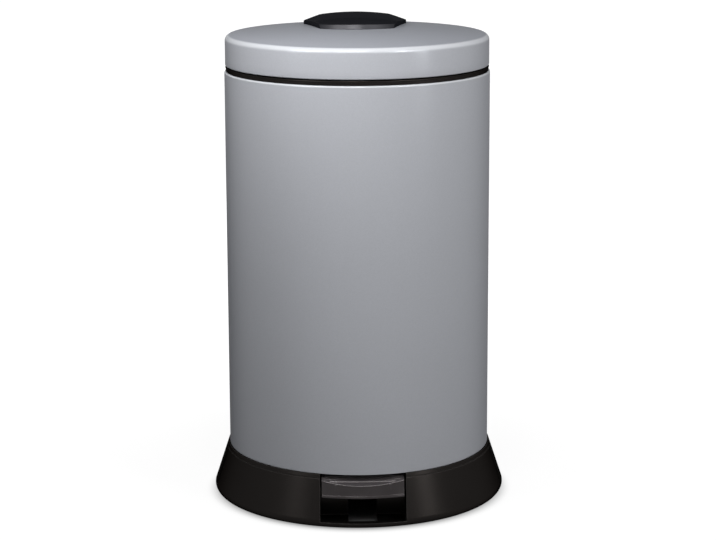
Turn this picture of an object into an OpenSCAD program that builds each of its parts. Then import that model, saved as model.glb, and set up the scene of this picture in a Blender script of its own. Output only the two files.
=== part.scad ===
// Round pedal bin: painted steel body and lid, plastic base, foot pedal with a lever
// and push rod, rear hinge and a lift-out bucket.
// Millimetres, Z up, front towards -Y. Origin on the floor, on the axis of the body.

/* [Body] */
// Outside diameter of the steel body
body_d = 300; // [290:2:310]
// Height of the body's lower edge above the floor
body_z0 = 58; // [57:1:60]
// Height of the body's upper edge above the floor
body_z1 = 490; // [440:5:540]
// Thickness of the steel sheet of body and lid
sheet = 1; // [0.8:0.1:1.2]
// Radius of the rolled rim
rim_r = 2.2; // [1.8:0.1:2.4]
// Width of the flange turned in at the body's lower edge
flange_w = 12; // [10:1:14]

/* [Lid] */
// Dark gap between the body's rim and the lid's lower edge
lid_gap = 6.5; // [6:0.5:8]
// Height of the straight wall of the lid
lid_wall = 27.5; // [25:0.5:32]
// Radius of the lid's upper edge
lid_edge = 6.5; // [5:0.5:9]
// Rise of the domed top above its edge
lid_dome = 6; // [4:0.5:10]
// Angle through which the lid opens
lid_open = 75; // [70:1:78]

/* [Base] */
// Slope of the skirt: growth of the radius per unit of height
flare = 0.33; // [0.28:0.01:0.34]
// Radius of the skirt's lower corner
skirt_corner = 7; // [5:0.5:8]
// Wall thickness of the plastic base
base_wall = 2.5; // [2:0.1:3]
// Height of the rubber feet under the base
foot_h = 1; // [0.8:0.1:1.5]
// Half width of the pedal recess
recess_x = 47.8; // [45:0.1:50]
// Depth of the pedal recess behind the body's wall
recess_in = 29; // [28:1:32]
// Height of the strip left below the recess
strip_h = 7.5; // [6:0.5:8]
// Radius of the rubber feet
pad_r = 6; // [5:0.5:7]
// Length of the screws that join base and body
screw_l = 12; // [10:0.5:14]

/* [Pedal] */
// Clearance between the pedal and each cheek of the recess
pedal_gap = 2.1; // [1.8:0.1:4]
// Radius of the hollow across the tread
pedal_dish = 1500; // [1000:100:3000]
// Height of the pedal's front face at its middle
pedal_face = 13.3; // [12:0.1:14]
// Slope of the tread in degrees, rising towards the body
pedal_tilt = 23; // [20:1:26]
// Thickness of the pedal's top and front
tread_wall = 2.2; // [1.8:0.1:2.5]
// Number of grooves across the tread
grooves = 4; // [3:1:5]

/* [Linkage] */
// Radius of the crank that lifts the lid
crank_r = 22; // [20:0.5:23]
// Distance of the hinge axis behind the body's wall
hinge_off = 10; // [9.5:0.5:10.5]
// Position of the pedal's axle along the lever, from the body's axis
axle_y = -20; // [-26:1:-14]
// Height of the pedal's axle
axle_z = 28.5; // [28:0.5:29.5]
// Radius of the hinge pin and of the pedal's axle
pin_r = 3; // [2.6:0.1:3.2]
// Running clearance of pins and axle, radial
fit = 0.05; // [0.02:0.01:0.1]

/* [Bucket] */
// Distance of the bucket's wall inside the body's outer face
bucket_gap = 25; // [24:1:32]
// Draft of the bucket: how much its radius shrinks from rim to foot
bucket_draft = 11; // [8:1:16]
// Wall thickness of the bucket
bucket_wall = 2; // [1.6:0.1:3]
// Distance of the bucket's rim below the body's rim
bucket_drop = 20; // [20:1:60]

/* [Grip] */
// Half width of the grip at its front edge
grip_front = 41; // [36:1:44]
// Half width of the grip at its widest place
grip_wide = 60; // [56:0.5:63]
// Height of the crown of the grip above the lid's crown
grip_h = 10.4; // [9.6:0.2:12.4]
// Lean of the grip's front face in degrees
grip_lean = 25; // [15:1:30]
// Radius of the grip's crown from side to side
grip_cross = 290; // [240:10:340]
// Radius of the grip's crown from front to back
grip_long = 600; // [500:20:700]
// Half width of the crown between the grip's shoulders
shoulder_x = 36.5; // [34:0.5:39]
// Slope of the grip's shoulders in degrees
shoulder_a = 16; // [14:1:18]

/* [Hinge housing] */
// Distance of the housing's back behind the body's wall
housing_out = 18; // [17:0.5:22]
// Half width of the housing
housing_x = 31; // [30:0.5:34]
// Height of the housing
housing_h = 47; // [40:1:60]

/* [Hidden] */
$fn = 96;
body_r = body_d / 2;
lid_r = body_r - 1;
lid_z0 = body_z1 + lid_gap;
lid_z1 = lid_z0 + lid_wall;
lid_flat = lid_z1 + lid_edge;
lid_top = lid_flat + lid_dome;
dome_r = (pow(lid_r - lid_edge, 2) + pow(lid_dome, 2)) / (2 * lid_dome);
hinge_y = body_r + hinge_off;
hinge_z = body_z1 - 3;
half_open = lid_open / 2;
pin_y = hinge_y - crank_r * cos(half_open);
pin_z = hinge_z - crank_r * sin(half_open);
rod_y = hinge_y - crank_r * (1 + cos(half_open)) / 2;
rod_r = 3;
rod_lift = 2 * crank_r * sin(half_open);
housing_z0 = body_z1 - 18 - housing_h;
lever_back = rod_y - axle_y;
lever_tilt = asin(rod_lift / 2 / lever_back);
foot_z = axle_z - lever_back * sin(lever_tilt);
slot_reach = crank_r * (1 - cos(half_open)) / 2;
deck_z = body_z0 - 3;
recess_y = -(body_r - recess_in);
flare_a = atan(flare);
skirt_top = body_r + 1.7;
base_y = skirt_top + flare * (body_z0 - foot_h - skirt_corner);
bolt_r = body_r - flange_w / 2 - 1;
collar_r = body_r - 2 * rim_r - 3.1;
pedal_x = recess_x - pedal_gap;
lever_front = -(body_r - 2 + axle_y);
lever_top = axle_z + 4 * cos(lever_tilt) - lever_front * sin(lever_tilt);
lip_z = lever_top + tread_wall + 1;
lip_y = -(skirt_top + flare * (body_z0 - lip_z));
tread_back = recess_y - 4;
deck_front = recess_y - 12;
tread_step = deck_front - 1.5;
groove_y = 8;
groove_pitch = 3;
tread_screw_y = [12, 25];
bucket_r = body_r - bucket_gap;
bucket_foot = bucket_r - bucket_draft;
bucket_top = body_z1 - bucket_drop;
bail_z = bucket_top - 8;
bail_r = bucket_r + 10;
bail_wire = 2.25;
bail_bend = 5;
dia_a = [45, 135, 225, 315];
grip_top = lid_top + grip_h;
grip_y0 = -18;
grip_y1 = 92;
grip_peak = 64;
grip_hole_x = 22;
grip_hole_y = 38;
grip_rib_y = [10, 38, 66];
seat = 0.05;

steel = [0.72, 0.73, 0.75];
silver = [0.66, 0.67, 0.69];
black = [0.07, 0.07, 0.075];
charcoal = [0.16, 0.155, 0.155];
zinc = [0.55, 0.56, 0.58];
grey = [0.30, 0.31, 0.33];
rubber = [0.05, 0.05, 0.05];

// Cylinder lying along X, centred on X = x0
module bar_x(r, len, x0 = 0) {
    translate([x0, 0, 0]) rotate([0, 90, 0]) cylinder(r = r, h = len, center = true);
}

// Cylinder lying along Y, from y = 0 towards +Y
module bar_y(r, len) {
    rotate([-90, 0, 0]) cylinder(r = r, h = len);
}

// Drawing in the plane of Y and Z, thickened along X about X = 0
module side_plate(thick) {
    rotate([90, 0, 90]) linear_extrude(height = thick, center = true) children();
}

// Pan-head screw standing on its tip, head at the bottom, cross recess in the head
module pan_screw(r, len, head_r, head_h) {
    difference() {
        union() {
            cylinder(r = r, h = len + head_h);
            intersection() {
                cylinder(r = head_r, h = head_h);
                translate([0, 0, head_r * 1.6]) sphere(r = head_r * 1.75);
            }
        }
        for (a = [0, 90]) rotate([0, 0, a]) translate([-head_r * 0.55, -0.45, -1])
            cube([head_r * 1.1, 0.9, 1 + head_h * 0.6]);
    }
}

// Hexagon nut with a washer face
module flange_nut(bore, across, h) {
    difference() {
        union() {
            cylinder(r = across / 2 / cos(30), h = h, $fn = 6);
            cylinder(r = across * 0.68, h = 0.9);
        }
        translate([0, 0, -1]) cylinder(r = bore, h = h + 2);
    }
}

// Section of the rolled and flanged steel wall
module shell_section() {
    translate([body_r - sheet, body_z0]) square([sheet, body_z1 - body_z0 - rim_r]);
    translate([body_r - flange_w, body_z0]) square([flange_w, sheet]);
    difference() {
        translate([body_r - rim_r, body_z1 - rim_r]) circle(r = rim_r, $fn = 48);
        translate([body_r - rim_r, body_z1 - rim_r]) circle(r = rim_r - sheet * 0.8, $fn = 48);
    }
}

module body_shell() {
    color(silver) difference() {
        rotate_extrude() shell_section();
        translate([-5.5, body_r - 9, pin_z - 7.6]) cube([11, 18, 60]);
        translate([-8.2, body_r - 9, body_z1 - 2 * rim_r - 0.8]) cube([16.4, 18, 20]);
        for (x = [-20, 20]) translate([x, body_r - 10, body_z1 - 28]) bar_y(2.2, 20);
        translate([0, body_r - 10, body_z1 - 54]) bar_y(1.8, 20);
        for (a = dia_a) rotate([0, 0, a]) translate([bolt_r, 0, body_z0 - 1]) cylinder(r = 2.3, h = 4);
        translate([0, rod_y, body_z0 - 1]) cylinder(r = 8.4, h = 4);
    }
}

// Section of the plastic collar: leg inside the rim, cap above it, bead below the lid
module collar_section() {
    translate([collar_r, body_z1 - 16]) square([2.8, 17]);
    translate([collar_r, body_z1 + seat]) square([2 * rim_r + 1.3, 3.2]);
    translate([collar_r, body_z1 + 3]) square([2 * rim_r + 0.5, lid_gap - 3.9]);
    translate([collar_r + 2 * rim_r + 0.5, body_z1 + lid_gap - 2.3]) circle(r = 1.4, $fn = 32);
}

module top_collar() {
    color(black) difference() {
        union() {
            rotate_extrude() collar_section();
            for (a = [15 : 30 : 345]) rotate([0, 0, a]) translate([collar_r - 2, -0.8, body_z1 - 14])
                cube([2.4, 1.6, 12]);
        }
        translate([-10, body_r - 20, body_z1 - 30]) cube([20, 17.9, 50]);
        translate([-5.5, body_r - 20, body_z1 - 30]) cube([11, 30, 50]);
        for (a = [90, 210, 330]) rotate([0, 0, a + 180]) translate([body_r - 5, 0, body_z1 + 2])
            cylinder(r = 1.25, h = 10);
    }
}

module lid_buffers() {
    color(rubber) for (a = [90, 210, 330]) rotate([0, 0, a + 180]) translate([body_r - 5, 0, body_z1 + 2.2]) {
        cylinder(r = 1.2, h = lid_gap - 2.9);
        translate([0, 0, lid_gap - 3.1]) cylinder(r = 2.2, h = 0.6);
    }
}

// Outline of the skirt as a solid of revolution, drawn in by t on every side
module skirt_outline(t) {
    z0 = foot_h + t;
    z1 = body_z0 - (t > 0 ? 3 : 0);
    r1 = skirt_top - t / cos(flare_a) + flare * (body_z0 - z1);
    rc = skirt_corner - t;
    zc = foot_h + skirt_corner;
    cx = base_y - skirt_corner / cos(flare_a);
    difference() {
        union() {
            polygon([
                [0, z0],
                [cx, z0],
                [cx + rc * cos(flare_a), zc + rc * sin(flare_a)],
                [r1, z1],
                [0, z1]
            ]);
            translate([cx, zc]) circle(r = rc, $fn = 64);
        }
        if (t == 0) translate([body_r + 3.1, body_z0 - 4.4]) rotate(45) square(0.9, center = true);
    }
}

// Walls of the pedal recess: two cheeks, a back with a slot for the lever, and a floor
module recess_walls() {
    for (s = [-1, 1]) translate([s * (recess_x + base_wall / 2) - base_wall / 2, recess_y - 52, foot_h])
        cube([base_wall, 52 + base_wall, body_z0 - foot_h]);
    difference() {
        translate([-recess_x - 1, recess_y, foot_h]) cube([2 * recess_x + 2, base_wall, body_z0 - foot_h]);
        translate([-16, recess_y - 1, foot_h - 1]) cube([32, 5, deck_z - foot_h + 1]);
    }
    difference() {
        translate([-recess_x - 1, recess_y - 47, foot_h]) cube([2 * recess_x + 2, 48, 2.5]);
        translate([-16, recess_y - 25, -1]) cube([32, 47, 10]);
    }
}

// Stiffening ribs under the deck, clear of the lever's lane
module deck_ribs() {
    for (a = [22.5, 67.5, 112.5, 157.5, 202.5, 337.5]) rotate([0, 0, a])
        translate([74, -1, deck_z - 12]) cube([body_r - 74, 2, 12.5]);
    for (s = [-1, 1]) translate([s * 60 - 1, recess_y + 1, deck_z - 12]) cube([2, 62, 12.5]);
    difference() {
        translate([0, 0, deck_z - 12]) cylinder(r = 76, h = 12.5);
        translate([0, 0, deck_z - 13]) cylinder(r = 74, h = 15);
        translate([-40, -90, deck_z - 14]) cube([80, 180, 20]);
    }
}

module base_skirt() {
    color(black) difference() {
        union() {
            difference() {
                rotate_extrude() difference() {
                    skirt_outline(0);
                    skirt_outline(base_wall);
                }
                translate([0, 0, -1]) cylinder(r = body_r - 2, h = foot_h + base_wall + 2);
                translate([-recess_x, recess_y - 60, strip_h]) cube([2 * recess_x, 60, deck_z - strip_h]);
                translate([-recess_x, deck_front - 60, strip_h]) cube([2 * recess_x, 60, body_z0]);
            }
            intersection() {
                rotate_extrude() skirt_outline(0.4);
                recess_walls();
            }
            intersection() {
                rotate_extrude() skirt_outline(1);
                deck_ribs();
            }
            difference() {
                translate([0, 0, body_z0 - 0.5]) cylinder(r = bucket_foot + 7, h = 6.5);
                translate([0, 0, body_z0 - 1]) cylinder(r = bucket_foot + 4.5, h = 9);
            }
        }
        translate([0, rod_y, body_z0 - 8]) cylinder(r = 5, h = 20);
        for (a = dia_a) rotate([0, 0, a]) translate([bolt_r, 0, body_z0 - 8]) cylinder(r = 2.3, h = 20);
        for (a = dia_a) rotate([0, 0, a]) translate([body_r + 5, 0, -1]) cylinder(r = 2.5, h = 8);
        for (x = [-28, 28], y = [-10, 10]) translate([x, axle_y + y, deck_z - 2]) cylinder(r = 1.85, h = 4.6);
    }
}

module foot_pads() {
    color(rubber) for (a = dia_a) rotate([0, 0, a]) translate([body_r + 5, 0, 0]) {
        cylinder(r = pad_r, h = foot_h);
        cylinder(r = 2.4, h = foot_h + base_wall + 1.8);
        translate([0, 0, foot_h + base_wall + 0.1]) cylinder(r1 = 3.1, r2 = 2.2, h = 2);
    }
}

module base_screws() {
    color(zinc) for (a = dia_a) rotate([0, 0, a]) translate([bolt_r, 0, deck_z - 2.6])
        pan_screw(2, screw_l, 4.2, 2.6);
}

module base_nuts() {
    color(zinc) for (a = dia_a) rotate([0, 0, a]) translate([bolt_r, 0, body_z0 + sheet])
        flange_nut(2.05, 6, 3.4);
}

// Hanging bracket of the pedal's axle: two cheeks with flanges against the deck
module pedal_bracket() {
    color(zinc) translate([0, axle_y, 0]) for (s = [-1, 1]) {
        difference() {
            translate([s * 17, 0, 0]) union() {
                side_plate(2) {
                    translate([-9, axle_z]) square([18, deck_z - axle_z]);
                    polygon([[-9, axle_z + 6], [9, axle_z + 6], [17, deck_z], [-17, deck_z]]);
                    translate([0, axle_z]) circle(r = 9);
                }
            }
            translate([s * 17, 0, axle_z]) bar_x(pin_r + fit, 6);
        }
        difference() {
            translate([s * 26 - 10, -17, deck_z - 2]) cube([20, 34, 2]);
            for (y = [-10, 10]) translate([s * 28, y, deck_z - 3]) cylinder(r = 2, h = 5);
            translate([s * 15 - 1, -20, deck_z - 3]) cube([2, 40, 5]);
        }
    }
}

module bracket_screws() {
    color(zinc) for (x = [-28, 28], y = [-10, 10]) translate([x, axle_y + y, deck_z - 4])
        pan_screw(1.8, 2.5 + 2, 3.4, 2);
}

module pedal_axle() {
    color(steel) translate([0, axle_y, axle_z]) difference() {
        bar_x(pin_r, 44);
        for (s = [-1, 1]) difference() {
            bar_x(pin_r + 1, 1, s * 19.3);
            bar_x(pin_r - 0.6, 2, s * 19.3);
        }
    }
}

module axle_clips() {
    color(zinc) translate([0, axle_y, axle_z]) for (s = [-1, 1]) difference() {
        bar_x(5.4, 0.8, s * 19.3);
        bar_x(pin_r - 0.55, 2, s * 19.3);
        translate([s * 19.3 - 1, -1.9, -8]) cube([2, 3.8, 8]);
        for (a = [-40, 40]) rotate([a, 0, 0]) translate([s * 19.3, 0, 4]) bar_x(1, 2);
    }
}

module rod_guide_low() {
    color(grey) translate([0, rod_y, 0]) difference() {
        union() {
            translate([0, 0, deck_z]) cylinder(r = 5 - seat, h = 12);
            translate([0, 0, body_z0 + seat]) intersection() {
                cylinder(r = 8, h = 1.6);
                translate([-8, -8, 0]) cube([16, 15, 4]);
            }
            translate([0, 0, deck_z - 1.2]) cylinder(r1 = 5.2, r2 = 5.7, h = 1.2);
        }
        translate([0, 0, deck_z - 2]) cylinder(r = rod_r + 0.08, h = 20);
    }
}

module rod_guide_top() {
    color(grey) difference() {
        intersection() {
            translate([-8, rod_y - 5.5, body_z1 - 60]) cube([16, 20, 12]);
            cylinder(r = body_r - sheet - seat, h = body_z1);
        }
        translate([0, rod_y, body_z1 - 62]) cylinder(r = rod_r + 0.08, h = 16);
        for (s = [-1, 1]) translate([s * 8, rod_y - 5.5, body_z1 - 62]) rotate([0, 0, 45])
            cube([4, 4, 40], center = true);
        translate([0, rod_y + 3.9, body_z1 - 54]) bar_y(1.5, 10);
    }
}

module guide_screw() {
    color(zinc) translate([0, body_r + 2.4, body_z1 - 54]) rotate([90, 0, 0])
        pan_screw(1.45, body_r - rod_y - 4.2, 3.4, 2.2);
}

// Block behind the body that carries the hinge and is open below as a carrying grip
module housing_block(t) {
    x = housing_x - t;
    y = body_r + housing_out - t;
    rc = 8 - t;
    z1 = body_z1 - 18 - t;
    linear_extrude(height = z1 - housing_z0) {
        translate([-x, body_r - 6]) square([2 * x, y - rc - body_r + 6]);
        translate([-x + rc, body_r - 6]) square([2 * x - 2 * rc, y - body_r + 6]);
        for (s = [-1, 1]) translate([s * (x - rc), y - rc]) circle(r = rc, $fn = 48);
    }
}

module hinge_housing() {
    color(black) difference() {
        union() {
            difference() {
                union() {
                    translate([0, 0, housing_z0]) housing_block(0);
                    for (s = [-1, 1]) translate([s * (housing_x - 3), 0, 0]) side_plate(6) {
                        translate([hinge_y, hinge_z]) circle(r = 8);
                        translate([hinge_y - 8, body_z1 - 20]) square([16, 17]);
                    }
                }
                translate([0, 0, housing_z0 - 1]) housing_block(2.5);
            }
            intersection() {
                for (x = [-20, 20]) translate([x, body_r - 4, body_z1 - 28]) bar_y(4.5, 16);
                translate([0, 0, housing_z0]) housing_block(1);
            }
            for (s = [-1, 1]) translate([s * 24.5 - 4.5, body_r - 4, body_z1 - 29]) cube([9, 14, 2]);
        }
        cylinder(r = body_r + seat, h = body_z1 + 20);
        translate([0, hinge_y, hinge_z]) bar_x(pin_r + fit, 80);
        for (x = [-20, 20]) translate([x, body_r - 4, body_z1 - 28]) bar_y(1.5, 13);
        translate([-6.5, body_r - 8, body_z1 - 22]) cube([13, 12, 10]);
    }
}

module housing_screws() {
    seat_y = sqrt(pow(body_r - sheet, 2) - pow(23.4, 2)) - 2.2 - seat;
    color(zinc) for (x = [-20, 20]) translate([x, seat_y, body_z1 - 28]) rotate([-90, 0, 0])
        pan_screw(1.45, 10.5, 3.4, 2.2);
}

module hinge_pin() {
    color(steel) translate([0, hinge_y, hinge_z]) bar_x(pin_r, 2 * housing_x + 4);
}

module pin_caps() {
    color(zinc) translate([0, hinge_y, hinge_z]) for (s = [-1, 1]) rotate([0, s * 90, 0]) difference() {
        union() {
            translate([0, 0, housing_x + 0.1]) cylinder(r = 5.5, h = 1.2);
            translate([0, 0, housing_x + 1.3]) cylinder(r1 = 5.1, r2 = 3.6, h = 1.6);
        }
        translate([0, 0, housing_x - 1]) cylinder(r = pin_r + 0.02, h = 3.05);
    }
}

// Outline of the lid as a solid of revolution, drawn in by t
module lid_outline(t) {
    rc = lid_edge - t;
    translate([0, lid_z0 - (t > 0 ? 5 : 0)]) square([lid_r - t, lid_wall + (t > 0 ? 5 : 0)]);
    translate([lid_r - lid_edge, lid_z1]) circle(r = rc, $fn = 64);
    translate([0, lid_z1]) square([lid_r - lid_edge, rc]);
    intersection() {
        translate([0, lid_top - dome_r]) circle(r = dome_r - t, $fn = 1440);
        translate([0, lid_z1]) square([lid_r - lid_edge, 60]);
    }
}

// Wall, dome and the hem turned in at the lower edge
module lid_section() {
    difference() {
        lid_outline(0);
        lid_outline(sheet);
        translate([lid_r - 1.2, lid_z0 - 1]) square([3, 2.2]);
    }
    translate([lid_r - 4.6, lid_z0]) square([3.4, sheet]);
    intersection() {
        difference() {
            translate([lid_r - 1.2, lid_z0 + 1.2]) circle(r = 1.2, $fn = 32);
            translate([lid_r - 1.2, lid_z0 + 1.2]) circle(r = 1.2 - sheet, $fn = 32);
        }
        translate([lid_r - 1.2, lid_z0]) square([1.2, 1.2]);
    }
}

module lid_shell() {
    color(silver) difference() {
        rotate_extrude() lid_section();
        for (x = [-14, 14]) translate([x, lid_r - 8, lid_z0 + 15]) bar_y(2, 16);
        for (s = [-1, 1]) translate([s * grip_hole_x, grip_hole_y, lid_z1]) cylinder(r = 2.2, h = 30);
    }
}

module lid_liner() {
    color(black) difference() {
        union() {
            rotate_extrude() {
                translate([lid_r - 9.5, lid_z0 + sheet + seat]) square([8.3, 2]);
                translate([lid_r - 9.5, lid_z0 + sheet + seat]) square([2, 11]);
            }
            for (a = [7.5 : 15 : 352.5]) rotate([0, 0, a]) translate([lid_r - 8, -0.7, lid_z0 + sheet + 1])
                cube([5, 1.4, 6]);
        }
        translate([-20, lid_r - 8, lid_z0]) cube([40, 20, 20]);
    }
}

// Plan of the grip: bowed front, sides that spread to the back, rounded rear
module grip_plan(t) {
    bow = (pow(grip_front, 2) + pow(15, 2)) / 30;
    intersection() {
        union() {
            polygon([
                [-grip_front + t, grip_y0 + 14],
                [-grip_wide + t, 78],
                [-grip_wide + 12, grip_y1 - t],
                [grip_wide - 12, grip_y1 - t],
                [grip_wide - t, 78],
                [grip_front - t, grip_y0 + 14]
            ]);
            intersection() {
                translate([0, grip_y0 + bow]) circle(r = bow - t, $fn = 360);
                translate([-grip_front + t, grip_y0 - 1]) square([2 * grip_front - 2 * t, 16]);
            }
        }
        translate([0, 22]) circle(r = grip_y1 - 12 - t, $fn = 360);
    }
}

// Crown of the grip: a turned body about an axis along Y, highest towards the back
module grip_crown(t) {
    translate([0, 0, grip_top - grip_cross]) rotate([-90, 0, 0]) rotate_extrude($fn = 720) intersection() {
        translate([grip_cross - grip_long, grip_peak]) circle(r = grip_long - t, $fn = 1440);
        translate([grip_cross - 50, grip_y0 - 20]) square([50, grip_y1 - grip_y0 + 40]);
    }
}

// Shoulders of the grip: a roof that falls away on both sides of the crown
module grip_roof(t) {
    far = grip_wide + 10;
    eave = (far - shoulder_x) * tan(shoulder_a);
    ridge = grip_top - grip_cross + sqrt(pow(grip_cross, 2) - pow(shoulder_x, 2)) - t;
    length = grip_y1 - grip_y0 + 60;
    translate([0, grip_y1 + 20, ridge]) rotate([90, 0, 0]) linear_extrude(height = length) polygon([
        [-far, -60],
        [far, -60],
        [far, -eave],
        [shoulder_x, 0],
        [shoulder_x, 20],
        [-shoulder_x, 20],
        [-shoulder_x, 0],
        [-far, -eave]
    ]);
}

// Front of the grip: a cone that leans back from the foot of the bow
module grip_cone(t) {
    bow = (pow(grip_front, 2) + pow(15, 2)) / 30;
    rise = 40;
    translate([0, grip_y0 + bow, lid_z1]) {
        cylinder(r1 = bow + 5 - t, r2 = bow + 5 - t - rise * tan(grip_lean), h = rise, $fn = 360);
        translate([-150, 0, 0]) cube([300, 200, rise]);
    }
}

// Grip as a solid, drawn in by t on every side but the bottom
module grip_solid(t) {
    intersection() {
        translate([0, 0, lid_z1 - (t > 0 ? 0.5 : 0)]) linear_extrude(height = 60) grip_plan(t);
        grip_crown(t);
        grip_roof(t);
        translate([0, 0, t > 0 ? -0.6 : 0]) grip_cone(t);
    }
}

module lid_grip() {
    color(black) difference() {
        union() {
            difference() {
                grip_solid(0);
                grip_solid(2.4);
            }
            intersection() {
                union() {
                    for (s = [-1, 1]) translate([s * grip_hole_x, grip_hole_y, lid_z1])
                        cylinder(r = 4.5, h = 40);
                    for (y = grip_rib_y) translate([-grip_wide, y - 0.8, lid_z1])
                        cube([2 * grip_wide, 1.6, 40]);
                }
                grip_solid(1);
            }
        }
        translate([0, 0, lid_top - dome_r]) sphere(r = dome_r + 0.08, $fn = 720);
        for (s = [-1, 1]) translate([s * grip_hole_x, grip_hole_y, lid_z1])
            cylinder(r = 1.5, h = grip_top - 4.2 - lid_z1);
    }
}

module grip_screws() {
    color(zinc) for (s = [-1, 1]) translate([s * grip_hole_x, grip_hole_y, lid_top - sheet - 3.7])
        pan_screw(1.45, grip_h + sheet - 3.4, 4, 2.4);
}

// Knuckle and leaf on the lid, and the crank that the push rod lifts
module lid_hinge() {
    dir = [cos(half_open), sin(half_open)];
    color(black) difference() {
        union() {
            side_plate(48) {
                translate([hinge_y, hinge_z]) circle(r = 6.5);
                polygon([
                    [hinge_y - 6.3, hinge_z],
                    [body_r + 1.6, lid_z0 + 1],
                    [lid_r - 4, lid_z0 + 2.5],
                    [lid_r - 4, lid_z0 + 23],
                    [lid_r + 2.6, lid_z0 + 23],
                    [lid_r + 3.6, lid_z0 + 22],
                    [lid_r + 3.8, lid_z0 + 4],
                    [hinge_y + 2, hinge_z + 6.1]
                ]);
            }
            side_plate(7) {
                translate([pin_y, pin_z]) circle(r = 4.2);
                polygon([
                    [hinge_y - 6.4 * dir[1], hinge_z + 6.4 * dir[0]],
                    [pin_y - 4.2 * dir[1], pin_z + 4.2 * dir[0]],
                    [pin_y + 4.2 * dir[1], pin_z - 4.2 * dir[0]],
                    [hinge_y + 6.4 * dir[1], hinge_z - 6.4 * dir[0]]
                ]);
            }
        }
        translate([0, 0, lid_z0 - 1]) cylinder(r = lid_r + seat, h = 60);
        translate([0, hinge_y, hinge_z]) bar_x(pin_r + fit, 80);
        translate([0, pin_y, pin_z]) bar_x(2 + 0.02, 20);
        for (x = [-14, 14]) translate([x, lid_r - 8, lid_z0 + 15]) bar_y(2, 20);
        for (s = [-1, 1]) translate([s * 13.5 - 6, hinge_y - 12, lid_z0 - 20]) cube([12, 30, 14]);
    }
}

module hinge_rivets() {
    color(zinc) for (x = [-14, 14]) translate([x, 0, lid_z0 + 15]) {
        translate([0, lid_r - 5.6, 0]) bar_y(1.95, 9.6);
        translate([0, lid_r - 4.4, 0]) bar_y(3.4, 1.4);
        intersection() {
            translate([0, lid_r + 3.8, 0]) bar_y(3.8, 3);
            translate([0, lid_r + 1.4, 0]) sphere(r = 4.4);
        }
    }
}

module crank_pin() {
    color(steel) translate([0, pin_y, pin_z]) bar_x(2, 15.6);
}

// Brings a drawing on the tread's own plane to its slope, turning about the lip
module at_tread() {
    translate([0, lip_y, lip_z]) rotate([pedal_tilt, 0, 0]) children();
}

// Cylinder whose lowest line lies on the tread: it hollows the tread from side to side
module tread_hollow(r, y0, y1) {
    at_tread() translate([0, y0, pedal_dish]) rotate([-90, 0, 0]) cylinder(r = r, h = y1 - y0, $fn = 1440);
}

// Pedal as a solid, drawn in by t: its front continues the cone of the skirt
module tread_solid(t) {
    z0 = lip_z - pedal_face - (t > 0 ? 1 : 0);
    z1 = body_z0 - 1.2 - t;
    inset = t > 0 ? t / cos(flare_a) : 0.6;
    r0 = skirt_top + flare * (body_z0 - z0);
    difference() {
        intersection() {
            rotate_extrude($fn = 360) polygon(t > 0 ? [
                [0, z0], [r0 - inset, z0], [r0 - inset - flare * (z1 - z0), z1], [0, z1]
            ] : [
                [0, z0], [r0 - 0.8, z0], [r0 - flare * 0.8, z0 + 0.8], [r0 - flare * 2.6, z0 + 2.6],
                [r0 - flare * 3.2 - inset, z0 + 3.2], [r0 - flare * (z1 - z0) - inset, z1], [0, z1]
            ]);
            translate([-pedal_x + t, lip_y - 30, 0])
                cube([2 * pedal_x - 2 * t, tread_back - t - lip_y + 30, 90]);
        }
        tread_hollow(pedal_dish + t, -40, 60);
        translate([-100, tread_step - t, deck_z - 1.2 - t]) cube([200, 60, 20]);
    }
}

// Height of the pedal's top at a distance behind the lip: the tread, then two level steps
function tread_top(y) = min(
    lip_z + y * tan(pedal_tilt),
    (y < tread_step - lip_y ? body_z0 : deck_z) - 1.2
);

// Room from the lever's top to the pedal's top, at a distance behind the lip
function head_room(y) = tread_top(y - 2) - axle_z - 4 / cos(lever_tilt)
    - (axle_y - lip_y - y) * tan(lever_tilt);

module pedal_tread() {
    depth = tread_back - lip_y;
    color(charcoal) difference() {
        union() {
            difference() {
                tread_solid(0);
                tread_solid(tread_wall);
            }
            intersection() {
                tread_solid(0.5);
                for (x = [-30, -19, 19, 30]) translate([x - 0.8, lip_y + 2, lip_z - pedal_face + 0.5])
                    cube([1.6, depth - 4, 60]);
            }
            intersection() {
                tread_solid(0.5);
                lever_place() for (y = tread_screw_y) at_screw(y) cylinder(r = 4, h = 20);
            }
        }
        for (i = [0 : grooves - 1]) intersection() {
            tread_hollow(pedal_dish + 0.6, groove_y + i * groove_pitch, groove_y + 1 + i * groove_pitch);
            translate([-pedal_x + 4, lip_y, 0]) cube([2 * pedal_x - 8, 60, 90]);
            cylinder(r1 = skirt_top + flare * body_z0 - 2.4, r2 = skirt_top - 2.4, h = body_z0, $fn = 360);
        }
        lever_place() {
            translate([-14, lever_front - 1.5, -20]) cube([28, 40, 24 + seat]);
            for (y = tread_screw_y) at_screw(y) cylinder(r = 1.5, h = 4 + head_room(y) - 2.4);
        }
    }
}

// Brings the lever from its level place to its rest slope about the axle
module lever_place() {
    translate([0, axle_y, axle_z]) rotate([-lever_tilt, 0, 0]) children();
}

// Pressed channel, open below: from under the tread to the foot of the push rod
module pedal_lever() {
    front = lever_front;
    color(black) lever_place() difference() {
        union() {
            translate([-13, front, 2]) cube([26, lever_back - 14 - front, 2]);
            for (s = [-1, 1]) translate([s * 12, 0, 0]) side_plate(2) {
                polygon([
                    [front, 4], [front, 0], [front + 34, -7], [lever_back - 20, -7],
                    [lever_back - 2, -6], [lever_back - 2, 6], [lever_back - 16, 4]
                ]);
                translate([lever_back, 0]) circle(r = 6.3);
            }
        }
        bar_x(5, 60);
        translate([0, lever_back, 0]) bar_x(2.5 + 0.02, 60);
        for (y = tread_screw_y) at_screw(y) translate([0, 0, -20]) cylinder(r = 1.8, h = 40);
        for (y = [-90, -60, 40, 75]) translate([0, y, 0]) cylinder(r = 5, h = 10);
    }
}

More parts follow.
